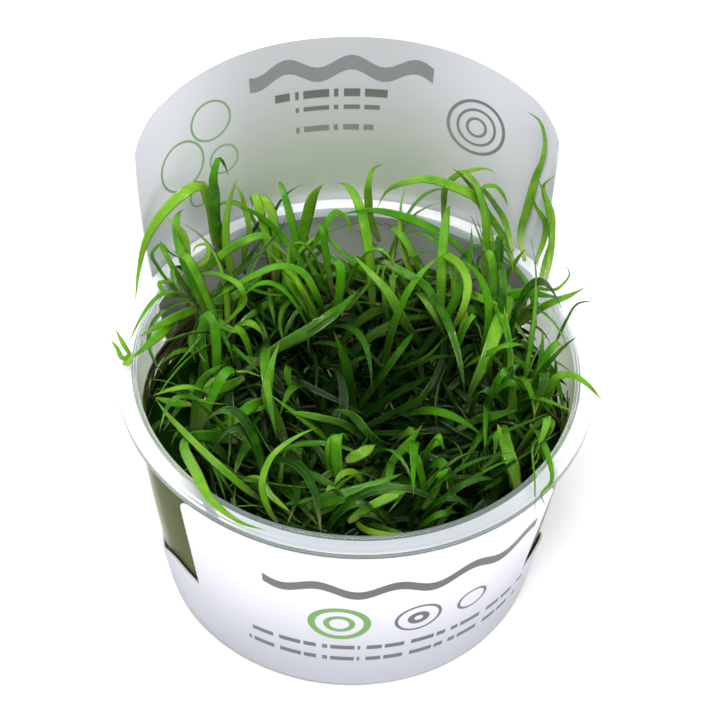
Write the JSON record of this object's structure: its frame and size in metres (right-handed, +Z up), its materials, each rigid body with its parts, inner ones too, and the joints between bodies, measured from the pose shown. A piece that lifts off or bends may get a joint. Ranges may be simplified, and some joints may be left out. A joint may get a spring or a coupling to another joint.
{
  "type": "potted tissue culture aquarium plant",
  "caption": "Open clear culture cup packed with narrow-leaved aquarium plantlets on nutrient gel, in a card sleeve with a tall curved header.",
  "frame": {"origin": "middle of the cup's underside, on the surface that it stands on", "axes": "+Z up; the card's tall header stands on the +Y side and its front panel faces -Y; +X is to the right seen from the front"},
  "size_m": [0.0954, 0.1024, 0.093],
  "materials": {
    "cup_plastic": "clear, polished",
    "card": "satin coated",
    "gel": "wet",
    "leaf": "waxy, glossy"
  },
  "bodies": {
    "root": {"card_sleeve": "card", "cup": "cup_plastic", "leaf_mat": "leaf", "nutrient_gel": "gel", "plantlet_01": "leaf", "plantlet_02": "leaf", "plantlet_03": "leaf", "plantlet_04": "leaf", "plantlet_05": "leaf", "plantlet_06": "leaf", "plantlet_07": "leaf", "plantlet_08": "leaf", "plantlet_09": "leaf", "plantlet_10": "leaf", "plantlet_11": "leaf", "plantlet_12": "leaf", "plantlet_13": "leaf", "plantlet_14": "leaf", "plantlet_15": "leaf", "plantlet_16": "leaf", "plantlet_17": "leaf", "plantlet_18": "leaf", "plantlet_19": "leaf", "plantlet_20": "leaf", "plantlet_21": "leaf", "plantlet_22": "leaf", "plantlet_23": "leaf", "plantlet_24": "leaf", "plantlet_25": "leaf", "plantlet_26": "leaf", "plantlet_27": "leaf", "plantlet_28": "leaf", "plantlet_29": "leaf", "plantlet_30": "leaf", "plantlet_31": "leaf", "plantlet_32": "leaf", "plantlet_33": "leaf", "plantlet_34": "leaf", "plantlet_35": "leaf", "plantlet_36": "leaf", "plantlet_37": "leaf", "plantlet_38": "leaf", "plantlet_39": "leaf", "plantlet_40": "leaf", "plantlet_41": "leaf", "plantlet_42": "leaf", "plantlet_43": "leaf"}
  },
  "joints": []
}
